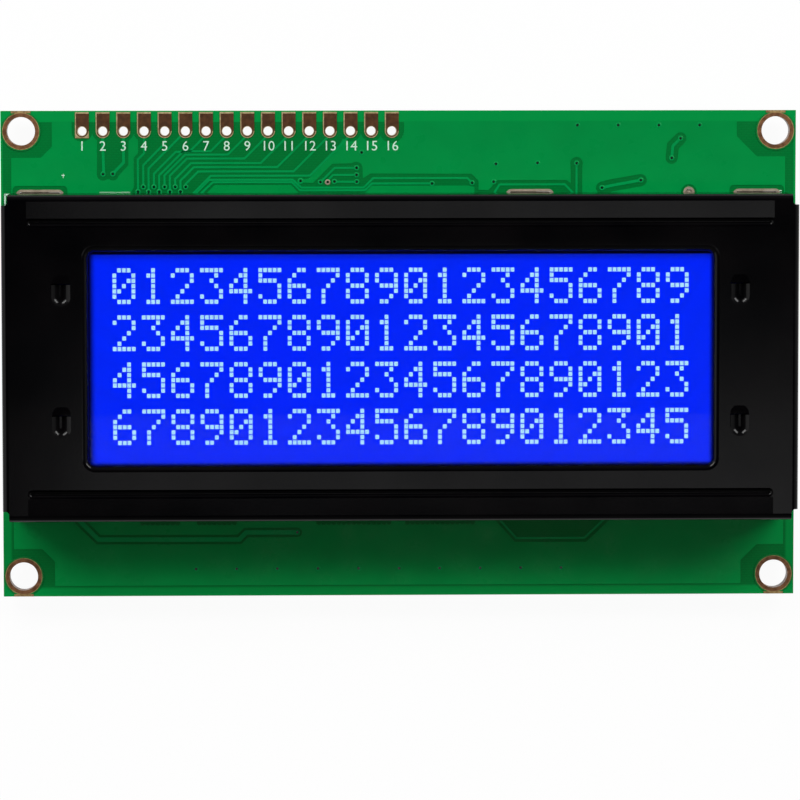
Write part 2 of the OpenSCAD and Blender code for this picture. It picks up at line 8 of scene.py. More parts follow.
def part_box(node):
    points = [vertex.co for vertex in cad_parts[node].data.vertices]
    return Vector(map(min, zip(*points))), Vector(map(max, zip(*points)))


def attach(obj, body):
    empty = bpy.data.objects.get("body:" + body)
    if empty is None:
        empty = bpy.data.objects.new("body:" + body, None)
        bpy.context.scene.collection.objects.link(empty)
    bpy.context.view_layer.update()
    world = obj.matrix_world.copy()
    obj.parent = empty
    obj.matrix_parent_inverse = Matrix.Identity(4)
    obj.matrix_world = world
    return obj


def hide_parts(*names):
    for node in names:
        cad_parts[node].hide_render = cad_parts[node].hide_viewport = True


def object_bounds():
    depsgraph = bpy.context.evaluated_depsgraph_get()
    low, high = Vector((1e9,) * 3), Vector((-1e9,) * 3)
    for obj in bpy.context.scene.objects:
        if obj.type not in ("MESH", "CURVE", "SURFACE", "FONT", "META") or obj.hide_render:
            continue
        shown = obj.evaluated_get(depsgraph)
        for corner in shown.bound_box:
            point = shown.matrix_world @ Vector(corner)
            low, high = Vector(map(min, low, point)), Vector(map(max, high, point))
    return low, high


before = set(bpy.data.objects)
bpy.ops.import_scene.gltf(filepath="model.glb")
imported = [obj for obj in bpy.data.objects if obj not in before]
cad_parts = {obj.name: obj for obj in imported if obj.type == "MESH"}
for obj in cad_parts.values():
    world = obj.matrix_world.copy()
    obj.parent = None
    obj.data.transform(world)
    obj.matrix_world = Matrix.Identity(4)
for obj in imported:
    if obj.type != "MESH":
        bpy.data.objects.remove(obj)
cad_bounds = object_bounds()
MM = 0.001


# ---- Circuit board ----
# Glass-epoxy laminate, routed to size and drilled, then coated on both faces with green solder mask.
# The mask is darker where no copper lies under it, and the cut edges and bare hole walls show the laminate.

def colour(red, green, blue):
    """A colour from a paint chart, 0 to 255 each, as the linear values that a shader takes."""
    parts = [part / 255 for part in (red, green, blue)]
    return [((part + 0.055) / 1.055) ** 2.4 if part > 0.04 else part / 12.92 for part in parts] + [1.0]


def new_finish(name):
    """A material with its nodes, its links and its shader."""
    finish = bpy.data.materials.new(name)
    finish.use_nodes = True
    return finish, finish.node_tree.nodes, finish.node_tree.links, finish.node_tree.nodes["Principled BSDF"]


def new_group(name, inputs, output, kind):
    """An empty node group with number or colour inputs and one output."""
    group = bpy.data.node_groups.new(name, "ShaderNodeTree")
    for label, what in inputs:
        group.interface.new_socket(label, in_out="INPUT", socket_type=what)
    group.interface.new_socket(output, in_out="OUTPUT", socket_type=kind)
    given, result = group.nodes.new("NodeGroupInput"), group.nodes.new("NodeGroupOutput")
    return group, group.nodes, group.links, given, result


def feed(links, socket, value):
    """A socket takes a number or a colour as its own value, and another socket through a link."""
    if isinstance(value, (int, float, list, tuple)):
        socket.default_value = value
    else:
        links.new(value, socket)


def calculate(nodes, links, operation, *values):
    """A Math node fed by sockets or numbers; from the third value on, each joins through one more node."""
    node = nodes.new("ShaderNodeMath")
    node.operation = operation
    for socket, value in zip(node.inputs, values[:2]):
        feed(links, socket, value)
    if len(values) > 2:
        return calculate(nodes, links, operation, node.outputs[0], *values[2:])
    return node.outputs[0]


def fade(nodes, links, value, start, full, least=0.0, most=1.0, smooth=False):
    """A number that goes from its least to its most while a value goes from start to full."""
    node = nodes.new("ShaderNodeMapRange")
    node.interpolation_type = "SMOOTHSTEP" if smooth else "LINEAR"
    labels = ("Value", "From Min", "From Max", "To Min", "To Max")
    for label, given in zip(labels, (value, start, full, least, most)):
        feed(links, node.inputs[label], given)
    return node.outputs["Result"]


def blend_colours(nodes, links, share, first, second):
    """A mix of two colours, each a socket or a plain colour, by a share from 0 to 1."""
    node = nodes.new("ShaderNodeMix")
    node.data_type = "RGBA"
    for number, value in ((0, share), (6, first), (7, second)):
        feed(links, node.inputs[number], value)
    return node.outputs[2]


def place_axes(nodes, links):
    """A point's place on the object, as its X, Y and Z."""
    place = nodes.new("ShaderNodeTexCoord")
    split = nodes.new("ShaderNodeSeparateXYZ")
    links.new(place.outputs["Object"], split.inputs["Vector"])
    return split.outputs


def clouds(nodes, links, scale, detail):
    """Soft noise over the surface, as a number from 0 to 1."""
    place = nodes.new("ShaderNodeTexCoord")
    noise = nodes.new("ShaderNodeTexNoise")
    noise.inputs["Detail"].default_value = detail
    links.new(place.outputs["Object"], noise.inputs["Vector"])
    links.new(scale, noise.inputs["Scale"])
    return noise.outputs["Fac"]


def build_mottle():
    """Two colours in soft clouds, as pigment, resin and moulded plastic have them."""
    group, nodes, links, given, result = new_group(
        "mottle", [("First", "NodeSocketColor"), ("Second", "NodeSocketColor"), ("Scale", "NodeSocketFloat")],
        "Colour", "NodeSocketColor")
    share = fade(nodes, links, clouds(nodes, links, given.outputs["Scale"], 5), 0.35, 0.65)
    links.new(blend_colours(nodes, links, share, given.outputs["First"], given.outputs["Second"]),
              result.inputs["Colour"])
    return group


def build_grain():
    """A fine uneven surface, given as a normal."""
    group, nodes, links, given, result = new_group(
        "surface_grain", [("Scale", "NodeSocketFloat"), ("Height", "NodeSocketFloat")],
        "Normal", "NodeSocketVector")
    bump = nodes.new("ShaderNodeBump")
    links.new(given.outputs["Height"], bump.inputs["Distance"])
    links.new(clouds(nodes, links, given.outputs["Scale"], 3), bump.inputs["Height"])
    links.new(bump.outputs["Normal"], result.inputs["Normal"])
    return group


def build_sheen():
    """A roughness that drifts between two values over the surface."""
    group, nodes, links, given, result = new_group(
        "uneven_gloss",
        [("Low", "NodeSocketFloat"), ("High", "NodeSocketFloat"), ("Scale", "NodeSocketFloat")],
        "Roughness", "NodeSocketFloat")
    links.new(fade(nodes, links, clouds(nodes, links, given.outputs["Scale"], 4), 0.3, 0.7,
                   given.outputs["Low"], given.outputs["High"]), result.inputs["Roughness"])
    return group


mottle, grain, sheen = build_mottle(), build_grain(), build_sheen()


def place_group(nodes, group, **values):
    """One use of a node group with its own values; gives the group's output."""
    node = nodes.new("ShaderNodeGroup")
    node.node_tree = group
    for label, value in values.items():
        node.inputs[label].default_value = value
    return node.outputs[0]


def mottled(nodes, first, second, scale):
    """Two close colours in soft clouds."""
    return place_group(nodes, mottle, First=first, Second=second, Scale=scale)


def set_surface(nodes, links, shader, low, high, scale, relief=0.0, relief_scale=6000.0):
    """An uneven gloss on a shader and, where asked, a fine relief."""
    links.new(place_group(nodes, sheen, Low=low, High=high, Scale=scale), shader.inputs["Roughness"])
    if relief:
        links.new(place_group(nodes, grain, Scale=relief_scale, Height=relief), shader.inputs["Normal"])


def plain_finish(name, first, second, cloud=900.0, low=0.4, high=0.55, relief=0.0, relief_scale=6000.0,
                 metallic=0.0):
    """A finish of two close colours, an uneven gloss and, where asked, a fine relief."""
    finish, nodes, links, shader = new_finish(name)
    links.new(mottled(nodes, first, second, cloud), shader.inputs["Base Color"])
    set_surface(nodes, links, shader, low, high, cloud, relief, relief_scale)
    shader.inputs["Metallic"].default_value = metallic
    return finish


def dress(node, finish):
    """A node of the frame keeps its mesh and gets a better finish in its own slots."""
    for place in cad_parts[node].material_slots:
        place.material = finish


board_low, board_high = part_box("circuit_board")
board_t = board_high.z - board_low.z
MASK_OVER_COPPER = colour(0, 144, 66)
MASK_OVER_BOARD = colour(0, 112, 48)
# the mask's colour where painted light brightens it along the board's edges
PAINTED_EDGE_GLOW = colour(0, 141, 63)
MASK_T = 0.02 * MM
MASK_RELIEF = 0.004 * MM
MASK_SPECULAR = 0.1
WEAVE_PITCH = 1.2 * MM

# how far inside each edge the painted glow starts, which stands in for light coming through the laminate, and
# where it is full; below the bezel the painted bright band at the two ends is wider
GLOW_AT_ENDS = (0.35 * MM, 0.1 * MM)
GLOW_AT_TOP = (1.45 * MM, 1.3 * MM)
GLOW_AT_FOOT = (1.3 * MM, 0.85 * MM)
GLOW_AT_LOW_ENDS = (1.2 * MM, 0.8 * MM)
LOW_ENDS_Y = -19.0 * MM


def masked_board():
    """Green mask on the two faces, woven glass showing faintly through it, and bare laminate at every cut.
    Beyond the copper the mask is painted brighter towards the board's edges, as painted light coming through
    the laminate."""
    finish, nodes, links, shader = new_finish("green_mask_on_laminate")
    axes = place_axes(nodes, links)
    height = calculate(nodes, links, "SUBTRACT", axes["Z"], board_t / 2)
    on_face = calculate(nodes, links, "GREATER_THAN", calculate(nodes, links, "ABSOLUTE", height),
                        board_t / 2 - MASK_T)
    place = nodes.new("ShaderNodeTexCoord")
    weave = nodes.new("ShaderNodeTexBrick")
    for label, value in (("Vector", place.outputs["Object"]), ("Scale", 1 / WEAVE_PITCH),
                         ("Mortar Size", 0.08), ("Mortar Smooth", 1.0), ("Color1", MASK_OVER_BOARD),
                         ("Color2", colour(0, 114, 49)), ("Mortar", colour(0, 106, 44))):
        feed(links, weave.inputs[label], value)
    sideways = calculate(nodes, links, "ABSOLUTE", axes["X"])
    down = calculate(nodes, links, "MULTIPLY", axes["Y"], -1)
    at_ends, at_top, at_foot, at_low_ends = [
        fade(nodes, links, way, edge - start, edge - full, smooth=True)
        for way, edge, (start, full) in (
            (sideways, board_high.x, GLOW_AT_ENDS), (axes["Y"], board_high.y, GLOW_AT_TOP),
            (down, board_high.y, GLOW_AT_FOOT), (sideways, board_high.x, GLOW_AT_LOW_ENDS))]
    below_bezel = calculate(nodes, links, "LESS_THAN", axes["Y"], LOW_ENDS_Y)
    # painted light: the share of the brighter edge colour, strongest at the board's rims
    glow = calculate(nodes, links, "MAXIMUM", at_ends, at_top, at_foot,
                     calculate(nodes, links, "MULTIPLY", at_low_ends, below_bezel))
    face = blend_colours(nodes, links, glow, weave.outputs["Color"], PAINTED_EDGE_GLOW)
    laminate = mottled(nodes, colour(150, 196, 120), colour(110, 168, 92), 2500.0)
    links.new(blend_colours(nodes, links, on_face, laminate, face), shader.inputs["Base Color"])
    set_surface(nodes, links, shader, 0.28, 0.4, 400.0, MASK_RELIEF, 2500.0)
    shader.inputs["Specular IOR Level"].default_value = MASK_SPECULAR
    return finish


dress("circuit_board", masked_board())


# ---- Copper under the mask ----
# Etched copper foil on both faces: a ground area with clearances, tracks and small plated holes.
# The mask lies over the copper and looks brighter there, so each piece is a thin raised plate in mask green.

COPPER_FOIL = 0.035 * MM
SEAM_GAP = 0.0005 * MM
PAD_HALF = 0.85 * MM
HEADER_COUNT = 16
header_low, header_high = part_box("header_pads")
header_pitch = (header_high.x - header_low.x - 2 * PAD_HALF) / (HEADER_COUNT - 1)
header_x = [header_low.x + PAD_HALF + i * header_pitch for i in range(HEADER_COUNT)]
header_y = header_low.y + PAD_HALF
front_low, front_high = board_high.z, board_high.z + COPPER_FOIL
rear_low, rear_high = board_low.z - COPPER_FOIL, board_low.z


def publish(name, mesh, finish):
    """A finished piece of the object, with its finish, body and slot."""
    mesh.materials.clear()
    mesh.materials.append(finish)
    piece = bpy.data.objects.new(name, mesh)
    bpy.context.scene.collection.objects.link(piece)
    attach(piece, "root")
    return piece


def make_mesh(name, shape):
    """The mesh of a finished shape, which is then let go."""
    mesh = bpy.data.meshes.new(name)
    shape.to_mesh(mesh)
    shape.free()
    return mesh


def trace(name, drawing):
    """The mesh of a flat curve or of text."""
    drawn = bpy.data.objects.new(name + "_drawing", drawing)
    bpy.context.scene.collection.objects.link(drawn)
    mesh = bpy.data.meshes.new_from_object(drawn.evaluated_get(bpy.context.evaluated_depsgraph_get()))
    bpy.data.objects.remove(drawn)
    return mesh


def close_seams(shape, gap):
    """Points within a gap are merged and all faces turned outwards."""
    bmesh.ops.remove_doubles(shape, verts=shape.verts, dist=gap)
    bmesh.ops.recalc_face_normals(shape, faces=shape.faces)


def draw_plate(name, outlines, low, high, thinner=0.0):
    """A flat plate between two heights, from outlines in millimetres; one inside another cuts a hole."""
    drawing = bpy.data.curves.new(name, "CURVE")
    drawing.dimensions = "2D"
    drawing.fill_mode = "BOTH"
    drawing.extrude = (high - low) / 2 - thinner
    for outline in outlines:
        spline = drawing.splines.new("POLY")
        spline.points.add(len(outline) - 1)
        for point, (x, y) in zip(spline.points, outline):
            point.co = (x * MM, y * MM, 0, 1)
        spline.use_cyclic_u = True
    shape = bmesh.new()
    shape.from_mesh(trace(name, drawing))
    close_seams(shape, SEAM_GAP)
    bmesh.ops.translate(shape, verts=shape.verts, vec=(0, 0, (low + high) / 2))
    return make_mesh(name, shape)


def arc(x, y, radius, start=0.0, turn=360.0, steps=16):
    """Points along an arc; a full turn leaves out the repeated last point."""
    count = steps if abs(turn) == 360.0 else steps + 1
    return [(x + radius * math.cos(math.radians(start + turn * i / steps)),
             y + radius * math.sin(math.radians(start + turn * i / steps))) for i in range(count)]


def ribbon(points, width):
    """The outline of a track along a line, mitred at its corners and round at its ends."""
    half = width / 2
    line = [Vector(p) for p in points]
    runs = [(b - a).normalized() for a, b in zip(line, line[1:])]

    def one_side(order, directions):
        """The left-hand edge of the track and the round end that it runs into."""
        edge = []
        for i in range(1, len(order) - 1):
            across = [Vector((-d.y, d.x)) for d in (directions[i - 1], directions[i])]
            mitre = (across[0] + across[1]).normalized()
            edge.append(order[i] + mitre * (half / mitre.dot(across[0])))
        heading = math.degrees(math.atan2(directions[-1].y, directions[-1].x))
        return [tuple(p) for p in edge] + arc(order[-1].x, order[-1].y, half, heading + 90, -180, 6)

    return one_side(line, runs) + one_side(line[::-1], [-d for d in runs[::-1]])


def box_outline(x, y, width, depth, corner=0.3):
    """A rectangle with round corners about a middle."""
    reach_x, reach_y = width / 2 - corner, depth / 2 - corner
    return [point for side_x, side_y, start in ((1, 1, 0), (-1, 1, 90), (-1, -1, 180), (1, -1, 270))
            for point in arc(x + side_x * reach_x, y + side_y * reach_y, corner, start, 90, 4)]


def darker(tone, share):
    """A colour brought down to a share of its light."""
    return [c * share for c in tone[:3]] + [1.0]


DEEPENS_FROM_Y, DEEPEST_Y, DEEPEST_SHARE = 20.0 * MM, 29.0 * MM, 0.2


def masked_copper(name, shade):
    """Green mask over copper, which deepens a little from the bezel up to the header's edge."""
    finish, nodes, links, shader = new_finish(name)
    axes = place_axes(nodes, links)
    deeper = fade(nodes, links, axes["Y"], DEEPENS_FROM_Y, DEEPEST_Y, most=DEEPEST_SHARE)
    mask = mottled(nodes, shade, darker(shade, 0.93), 260.0)
    links.new(blend_colours(nodes, links, deeper, mask, darker(shade, 0.3)), shader.inputs["Base Color"])
    set_surface(nodes, links, shader, 0.25, 0.38, 350.0, MASK_RELIEF, 3000.0)
    shader.inputs["Specular IOR Level"].default_value = MASK_SPECULAR
    return finish


mask_finish = masked_copper("green_mask_on_copper", MASK_OVER_COPPER)
mask_on_tracks = masked_copper("green_mask_on_tracks", colour(0, 150, 75))

# the artwork is drawn in millimetres from the board's middle: first the places of what it goes round, how far
# the copper stays away from each, and the widths of the lines
pins = [x / MM for x in header_x]
pin_y = header_y / MM
pad_foot = pin_y - 0.8
right, top = board_high.x / MM, board_high.y / MM
SLOT_X, SLOT_Y = (-44.2, 16.15, 44.2), 19.65
TOOLING = (35.8, 19.9)
LEG = (41.8, 9.0)
CONTACT_Y = 16.5
HIDDEN_Y = 18.5
SETBACK = 1.3
PIN_CLEARANCE, LAST_PIN_CLEARANCE = 1.3, 1.5
LEG_CLEARANCE, TOOLING_CLEARANCE = 1.3, 0.98
SLOT_CLEARANCE = (6.75, 2.25, 0.5)
CONTACT_ROW = (86, 3.2)
SIGNAL_W, POWER_W, LOWER_RUN_W, REAR_TRACK_W = 0.26, 0.36, 0.55, 0.32
LOWER_RUN_OPENING_W, LINK_OPENING_W = 1.2, 1.5


def below_pin(pin, start, turn):
    """Part of the clearance round a header hole."""
    return arc(pins[pin], pin_y, PIN_CLEARANCE, start, turn, 10)


def slot_clearances(slots):
    """Openings round the tab slots along both long edges."""
    return [box_outline(x, SLOT_Y * side, *SLOT_CLEARANCE) for x in slots for side in (1, -1)]


def corner_cut(side_x, side_y, along, down, slope):
    """The ground area's cut-back corner at a mounting hole, from its long edge to its short edge."""
    x, y = side_x * (right - SETBACK), side_y * (top - SETBACK)
    return [(x - side_x * along, y), (x - side_x * along, y - side_y * (down - slope)),
            (x - side_x * (along - slope), y - side_y * down), (x, y - side_y * down)]


# the opening for the signals: from the last pin down along the ground tongue, over the row of small plated
# holes and the slot, back under the bezel and up again at the left of the fan
signal_opening = (
    below_pin(13, -13, -122)
    + [(-7.92, 24.84), (-10.95, 21.8), (-11.25, 21.62)] + arc(-12.14, 21.35, 0.42, 30, 300, 10)
    + [(-10.62, 21.1), (-10.35, 21.35), (-8.25, 23.45), (-5.85, 23.5)] + arc(-5.3, 22.9, 0.8, 110, -110, 6)
    + [(-4.48, 21.65), (-3.55, 22.25), (8.9, 22.2), (9.8, 21.35), (9.8, 20.2), (11.05, 20.2), (12.1, 21.4),
       (20.7, 21.4), (21.2, 21.0)]
    + arc(21.9, 23.48, 0.78, 200, -220, 10)
    + [(22.6, 22.6), (22.6, HIDDEN_Y), (9.3, HIDDEN_Y), (9.3, 20.6), (8.6, 20.75), (-3.35, 20.75),
       (-4.2, 19.9), (-12.4, 19.9), (-13.3, 20.85), (-22.75, 20.85), (-25.0, HIDDEN_Y), (-33.0, HIDDEN_Y),
       (-33.0, 19.9), (-32.65, 20.6), (-32.65, 24.2), (-32.1, 24.8), (-32.1, 26.0)]
    + below_pin(3, -126, -41))
power_opening = (below_pin(2, -13, -47) + [(-33.32, 25.6), (-33.32, 23.31), (-34.5, 22.04)]
                 + arc(-35.24, 22.15, 0.72, -30, -100, 5) + arc(-36.44, 22.15, 0.74, -50, -130, 6)
                 + [(-37.14, 25.6)] + below_pin(1, -122, -45))
upper_right = corner_cut(1, 1, 6.0, 4.4, 2.5)[::-1] + [(pins[15] + LAST_PIN_CLEARANCE, top - SETBACK)]
other_corners = (corner_cut(-1, 1, 5.0, 4.45, 1.35) + corner_cut(-1, -1, 5.05, 4.6, 1.55)[::-1]
                 + corner_cut(1, -1, 5.3, 4.9, 2.0))
front_outline = (
    upper_right + arc(pins[15], pin_y, LAST_PIN_CLEARANCE, 0, -150, 10) + below_pin(14, -13, -154)
    + signal_opening + power_opening + below_pin(0, -13, -150) + [(pins[0] - 1.25, top - SETBACK)]
    + other_corners)
leg_clearances = [arc(LEG[0], side * LEG[1], LEG_CLEARANCE) for side in (1, -1)]
leg_clearances.append(arc(*TOOLING, TOOLING_CLEARANCE))
stub_opening = [(9.9, -HIDDEN_Y), (14.32, -23.42), (23.2, -23.45), (28.4, -HIDDEN_Y)]
lower_run = [(-41.5, -18.7), (-37.25, -22.95), (-19.85, -23.0), (-18.98, -22.13), (-12.65, -22.13)]
short_links = [[(25.05, 20.45), (26.3, 20.75), (29.85, 21.38)],
               [(34.74, 26.53), (33.8, 25.6), (33.65, 24.11)]]
front_holes = slot_clearances((SLOT_X[0], SLOT_X[2]))
front_holes += [box_outline(0, side * CONTACT_Y, *CONTACT_ROW) for side in (1, -1)]
front_holes += leg_clearances + [stub_opening, ribbon(lower_run, LOWER_RUN_OPENING_W)]
front_holes += [ribbon(link, LINK_OPENING_W) for link in short_links]

# below the window, openings with a scalloped edge run down from under the bezel, one round for each signal
ROUND_PITCH, ROUND_R, ROUND_Y = 0.62, 0.3, -20.95
for first, last in ((-32.1, -27.4), (-25.1, -20.4), (-10.3, -1.2), (0.7, 9.4)):
    count = round((last - first) / ROUND_PITCH)
    scallops = [point for i in range(count)
                for point in arc(first + (i + 0.5) * ROUND_PITCH, ROUND_Y, ROUND_R, 180, 180, 5)]
    front_holes.append([(first, -HIDDEN_Y)] + scallops + [(first + count * ROUND_PITCH, -HIDDEN_Y)])
front_ground = draw_plate("front_ground_copper", [front_outline] + front_holes, front_low, front_high)
publish("front_ground_copper", front_ground, mask_finish)

# the signals run down from the pads at 45 degrees, left along parallel lines, and down to their plated holes
SIGNAL_HOLES = [(-32.15 + 0.653 * i, (20.04, 20.63)[i % 2]) for i in range(10)]
TURN_Y = (24.7, 23.35, 25.0, 24.95, 25.02, 24.6, 24.12, 23.55, 23.05, 22.53)
DROP_Y = (24.0, 23.3, 22.9, 22.25, 22.05, 22.05, 22.0, 21.6, 21.4, 21.0)
leads = [[(pins[3], pad_foot), (pins[3], 24.78)], [(pins[4], pad_foot), (pins[4], 26.0)],
         [(pins[5] - 0.55, 26.89)]]
for pin, level, drop, (x, y) in zip(pins[6:], TURN_Y[3:], DROP_Y[3:], SIGNAL_HOLES[3:]):
    leads.append([(pin - 0.3, pad_foot), (pin - 0.3 - (pad_foot - level), level), (x + level - drop, level)])
tracks = [lead + [(x, drop), (x, y)] for lead, drop, (x, y) in zip(leads, DROP_Y, SIGNAL_HOLES)]
tracks += [
    [(pins[13] - 0.3, pad_foot), (pins[13] - 0.3 - (pad_foot - 22.0), 22.0), (-23.2, 22.0), (-26.2, 19.0)],
    [(-26.0, 18.9), (-23.4, 21.5), (-13.1, 21.5), (-12.05, 20.53), (-4.35, 20.53), (-3.2, 21.68),
     (8.4, 21.68), (9.0, 21.1)],
    [(-25.4, 18.9), (-22.95, 21.2), (-13.2, 21.2), (-12.2, 20.2), (-4.2, 20.2), (-3.35, 21.02),
     (4.06, 21.02)],
    [(-5.24, 22.95), (-7.95, 22.95), (-9.7, 21.2)],
    [(-5.24, 22.08), (-8.15, 22.08), (-8.85, 21.35)],
    [(-5.24, 21.23), (-7.97, 21.25)],
    [(11.2, 19.0), (12.4, 20.88), (20.45, 20.88), (21.9, 19.4)],
    [(21.9, 23.45), (21.9, 19.0)],
    [(10.6, -18.6), (14.5, -22.95), (22.95, -22.95), (27.6, -18.6)]]
wide_tracks = [[(pins[1], pad_foot), (pins[1] + 0.1, 22.24)],
               [(pins[2], pad_foot), (-33.9, 23.65), (-35.25, 22.25)]] + short_links
tracks = [ribbon(track, SIGNAL_W) for track in tracks]
tracks += [ribbon(track, POWER_W) for track in wide_tracks] + [ribbon(lower_run, LOWER_RUN_W)]
TRACK_RISE = 0.004 * MM
PLATE_STEP = 0.00002 * MM


def add_plates(name, outlines, low, high, finish):
    """Many flat plates as one piece. They may touch or cross, so each is drawn by itself, a hair thinner
    than the one before it."""
    whole = bmesh.new()
    for number, outline in enumerate(outlines):
        part = draw_plate(name + "_part", [outline], low, high, thinner=PLATE_STEP * number)
        whole.from_mesh(part)
        bpy.data.meshes.remove(part)
    return publish(name, make_mesh(name, whole), finish)


add_plates("front_tracks", tracks, front_low, front_high + TRACK_RISE, mask_on_tracks)

# the small plated holes, closed by the mask: the foot, crest and pit of each, and their heights on the
# copper; the pits are painted dark as the shade inside the holes
HOLE_FOOT_R, HOLE_CREST_R, HOLE_PIT_R = 0.34, 0.26, 0.17
HOLE_CREST_Z, HOLE_PIT_Z = 0.03, 0.008
HOLE_SIDES = 14
edge_holes = [(22.0 + 5.03 * i, 28.16) for i in range(4)] + [(-25.2 + 5.03 * i, -26.65) for i in range(10)]
front_vias = SIGNAL_HOLES + [
    (-36.44, 22.22), (-35.24, 22.24), (-12.14, 21.35), (-9.7, 21.2), (-7.97, 21.27), (-5.24, 22.95),
    (-5.24, 22.08), (-5.22, 21.23), (-4.62, 24.84), (4.06, 21.01), (9.0, 21.08), (11.67, 21.21),
    (11.94, 23.4), (17.08, 23.52), (21.91, 23.48), (25.05, 20.45), (29.85, 21.38), (34.74, 26.53),
    (33.65, 24.11), (-12.65, -22.13)] + edge_holes
# painted shade: the dark green that stands for the shadow inside each mask-covered hole
pit_shade_finish = plain_finish("painted_shade_in_small_hole", colour(0, 44, 20), colour(0, 30, 14), cloud=2500.0,
                          low=0.2, high=0.3)


def plated_holes(name, places, base, up, finish):
    """Small plated holes on one face of the board: rounded crests as one piece, and as another the pits,
    painted dark as the holes' shade.
    """
    crests, pits = bmesh.new(), bmesh.new()

    def seat(shape, ring, x, y, height):
        """A new ring is turned to this face of the board and moved to its hole."""
        if up < 0:
            bmesh.ops.rotate(shape, verts=ring, matrix=Matrix.Rotation(math.pi, 3, "X"))
        bmesh.ops.translate(shape, verts=ring, vec=(x * MM, y * MM, base + up * height * MM))

    for x, y in places:
        for low_r, low_z in ((HOLE_FOOT_R, 0), (HOLE_PIT_R, HOLE_PIT_Z)):
            wall = bmesh.ops.create_cone(
                crests, cap_ends=False, segments=HOLE_SIDES, radius1=low_r * MM, radius2=HOLE_CREST_R * MM,
                depth=(HOLE_CREST_Z - low_z) * MM)["verts"]
            seat(crests, wall, x, y, (low_z + HOLE_CREST_Z) / 2)
        disc = bmesh.ops.create_circle(pits, cap_ends=True, segments=HOLE_SIDES, radius=HOLE_PIT_R * MM)
        seat(pits, disc["verts"], x, y, HOLE_PIT_Z)
    close_seams(crests, SEAM_GAP)
    publish(name + "_crests", make_mesh(name + "_crests", crests), finish)
    publish(name + "_pits", make_mesh(name + "_pits", pits), pit_shade_finish)


plated_holes("front_small_holes", front_vias, front_high, 1, mask_on_tracks)

# behind: a ground frame, the header's lines to the middle chip, lines between the chips, and lines fanned up
# and down to the contact rows, each ending in a small plated hole
CHIP_X = (-27.0, 0.0, 27.0)
CHIP_Y = -1.5
CHIP_R = 8.5
FAN_LINES = 15
FAN_STEP = 1.12
rear_outline = (upper_right + arc(pins[15], pin_y, LAST_PIN_CLEARANCE, 0, -90, 6)
                + [(pins[15], 25.4), (pins[0] - 1.3, 25.4), (pins[0] - 1.3, top - SETBACK)] + other_corners)
rear_window = [(-39.5, 23.8), (10.5, 23.8), (12.3, 22.0), (12.3, 18.1), (38.3, 18.1), (39.0, 17.4),
               (39.0, -17.4), (38.3, -18.1), (-39.0, -18.1), (-39.7, -17.4), (-39.7, 17.2), (-40.6, 18.1),
               (-40.6, 22.7)]
rear_holes = slot_clearances(SLOT_X) + leg_clearances + [rear_window]
rear_tracks, rear_vias = [], []
for i, pin in enumerate(pins[3:14]):
    level, x = 18.6 + 0.46 * i, -4.5 + 0.9 * i
    rear_tracks.append([(pin, pad_foot), (pin, level), (x, level), (x, 10.0), (x * 0.8, CHIP_Y + 6.5)])
for chip_x in CHIP_X:
    fan_sides = (-1,) if chip_x == 0 else (1, -1)
    for i in range(FAN_LINES):
        x = (i - FAN_LINES // 2) * FAN_STEP
        near = math.sqrt(CHIP_R ** 2 - min(abs(x), 7.9) ** 2) - 1.0
        for side in fan_sides:
            end = (chip_x + x, side * (14.4 + 0.8 * (i % 2)))
            rear_tracks.append([(chip_x + x * 0.9, CHIP_Y + side * near),
                                (chip_x + x, CHIP_Y + side * (near + 2.2)), end])
            rear_vias.append(end)
for side in (-1, 1):
    for i in range(6):
        y = CHIP_Y + (i - 2.5) * 0.9
        rear_tracks.append([(side * 7.6, y), (side * 19.4, y)])
for side in (1, -1):
    rear_tracks.append([(LEG[0], side * LEG[1]), (LEG[0] - 3.4, side * LEG[1]), (36.2, side * 7.0),
                        (36.2, side + CHIP_Y)])
rear_ground = draw_plate("rear_ground_copper", [rear_outline] + rear_holes, rear_low, rear_high)
publish("rear_ground_copper", rear_ground, mask_finish)
rear_ribbons = [ribbon(track, REAR_TRACK_W) for track in rear_tracks]
add_plates("rear_tracks", rear_ribbons, rear_low - TRACK_RISE, rear_high, mask_on_tracks)
plated_holes("rear_small_holes", rear_vias + edge_holes, rear_low - TRACK_RISE, -1, mask_on_tracks)


# ---- Bare plated copper ----
# Rings and strips at the mounting holes, header pads and slot rings that the mask leaves open.
# Their plating is dull and brownish in the middle, with a pale rim along the mask and the holes, which on the
# header pads is a painted highlight on the edges that face the light.

# widths of the painted highlights on the header pads' edges: round the hole, at the left, at the top and at
# the foot
HIGHLIGHT_AT_HOLE = 0.61 * MM
HIGHLIGHT_AT_LEFT = 0.13 * MM
HIGHLIGHT_AT_TOP = 0.2 * MM
HIGHLIGHT_AT_FOOT = 0.1 * MM
RING_X, RING_Y = 46.5 * MM, 27.5 * MM
RING_BARE = 2.28 * MM
PALE_RIM_WIDTH = 0.09 * MM
RING_OPEN_EDGE = 0.3 * MM
TIN_RELIEF = 0.004 * MM


def distance(nodes, links, across, along):
    """How far a point lies from a middle, from its two offsets."""
    squares = [calculate(nodes, links, "MULTIPLY", way, way) for way in (across, along)]
    return calculate(nodes, links, "SQRT", calculate(nodes, links, "ADD", *squares))


